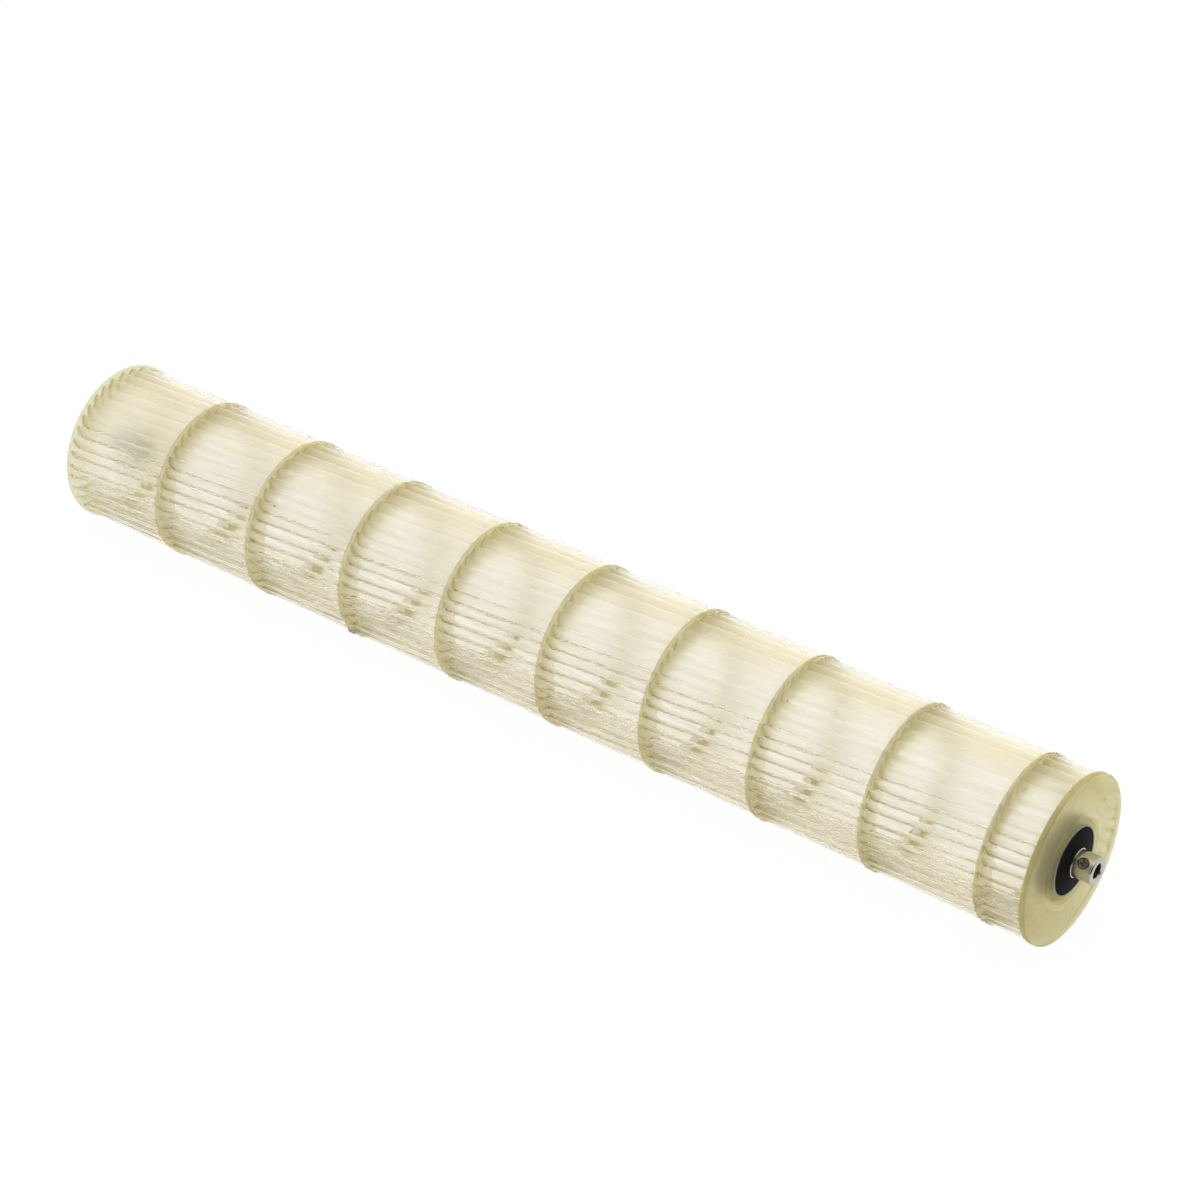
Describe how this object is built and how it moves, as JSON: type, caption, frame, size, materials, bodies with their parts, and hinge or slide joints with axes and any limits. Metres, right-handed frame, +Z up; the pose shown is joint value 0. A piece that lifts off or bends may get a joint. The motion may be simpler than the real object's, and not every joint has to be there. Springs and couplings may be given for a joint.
{
  "type": "cross flow fan impeller",
  "caption": "Long cylindrical cross flow fan impeller of welded translucent plastic blade segments, with a rubber-damped motor boss and set screw at one end and a bearing stub at the other.",
  "frame": {"origin": "on the fan's axis, inside the motor bore, in the plane of the drive plate's outer face", "axes": "+X along the fan's axis, out of the motor boss, +Z up"},
  "size_m": [0.6598, 0.092, 0.092],
  "materials": {
    "san_plastic": "satin, translucent, faintly yellow-green",
    "ground_steel": "ground",
    "sleeve_steel": "zinc plated",
    "black_rubber": "satin",
    "nickel_plate": "bright nickel plate",
    "screw_steel": "blackened",
    "spring_steel": "dark spring steel"
  },
  "bodies": {
    "impeller": {"idler_end_segment": "san_plastic", "idler_stub_shaft": "ground_steel", "blade_segment_2": "san_plastic", "blade_segment_3": "san_plastic", "blade_segment_4": "san_plastic", "blade_segment_5": "san_plastic", "blade_segment_6": "san_plastic", "blade_segment_7": "san_plastic", "blade_segment_8": "san_plastic", "blade_segment_9": "san_plastic", "short_blade_segment": "san_plastic", "drive_end_plate": "san_plastic", "damper_sleeve": "sleeve_steel", "rubber_damper": "black_rubber", "shaft_boss": "nickel_plate", "balance_clip": "spring_steel"},
    "screw": {"set_screw": "screw_steel"}
  },
  "joints": [
    {"name": "set_screw_travel", "type": "slide", "parent": "impeller", "child": "screw", "axis": [0, -0.6665, 0.7455], "range_m": [0, 0.0025]}
  ]
}
